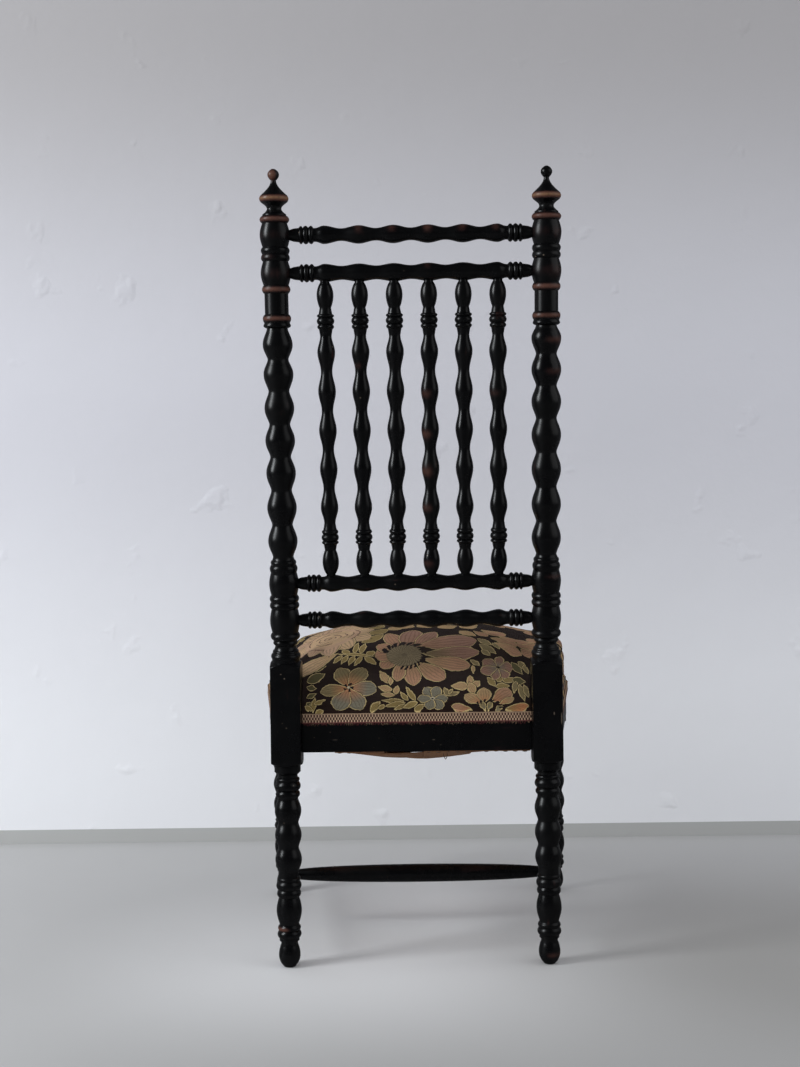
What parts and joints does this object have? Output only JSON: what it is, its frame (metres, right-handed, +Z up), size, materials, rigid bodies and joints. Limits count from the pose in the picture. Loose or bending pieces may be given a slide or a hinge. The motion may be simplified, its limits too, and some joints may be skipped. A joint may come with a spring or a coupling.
{
  "type": "turned spindle-back chair",
  "caption": "High-backed wooden chair of bobbin-turned posts, rails and spindles, with a deep upholstered seat over coil springs and jute webbing, worn black finish.",
  "frame": {"origin": "middle of the bounding box in plan, on the floor under the four feet", "axes": "+Z up, -Y the way the seat faces, +X towards the chair's own left"},
  "size_m": [0.5222, 0.5376, 1.1245],
  "materials": {
    "ebonised_wood": "satin black, worn through to brown on the crowns of the turning",
    "tapestry": "woven floral tapestry on a dark ground, faded",
    "gimp_braid": "flat woven braid, dusty",
    "jute": "coarse woven jute, sagging",
    "spring_steel": "dull coiled wire, lightly rusted"
  },
  "bodies": {
    "root": {"base_rail": "ebonised_wood", "corner_brace_front_left": "ebonised_wood", "corner_brace_front_right": "ebonised_wood", "corner_brace_rear_left": "ebonised_wood", "corner_brace_rear_right": "ebonised_wood", "crest_rail": "ebonised_wood", "cross_strap_front": "jute", "cross_strap_middle": "jute", "cross_strap_rear": "jute", "cross_stretcher": "ebonised_wood", "front_leg_left": "ebonised_wood", "front_leg_right": "ebonised_wood", "gimp_rear": "gimp_braid", "gimp_sides_and_front": "gimp_braid", "long_strap_left": "jute", "long_strap_middle": "jute", "long_strap_right": "jute", "lower_spindle_rail": "ebonised_wood", "rear_post_left": "ebonised_wood", "rear_post_right": "ebonised_wood", "seat_cushion": "tapestry", "seat_rail_front": "ebonised_wood", "seat_rail_left": "ebonised_wood", "seat_rail_rear": "ebonised_wood", "seat_rail_right": "ebonised_wood", "side_stretcher_left": "ebonised_wood", "side_stretcher_right": "ebonised_wood", "spindle_1": "ebonised_wood", "spindle_2": "ebonised_wood", "spindle_3": "ebonised_wood", "spindle_4": "ebonised_wood", "spindle_5": "ebonised_wood", "spindle_6": "ebonised_wood", "spring_canvas": "jute", "spring_front_left": "spring_steel", "spring_front_right": "spring_steel", "spring_middle": "spring_steel", "spring_rear_left": "spring_steel", "spring_rear_right": "spring_steel", "upper_spindle_rail": "ebonised_wood"}
  },
  "joints": []
}
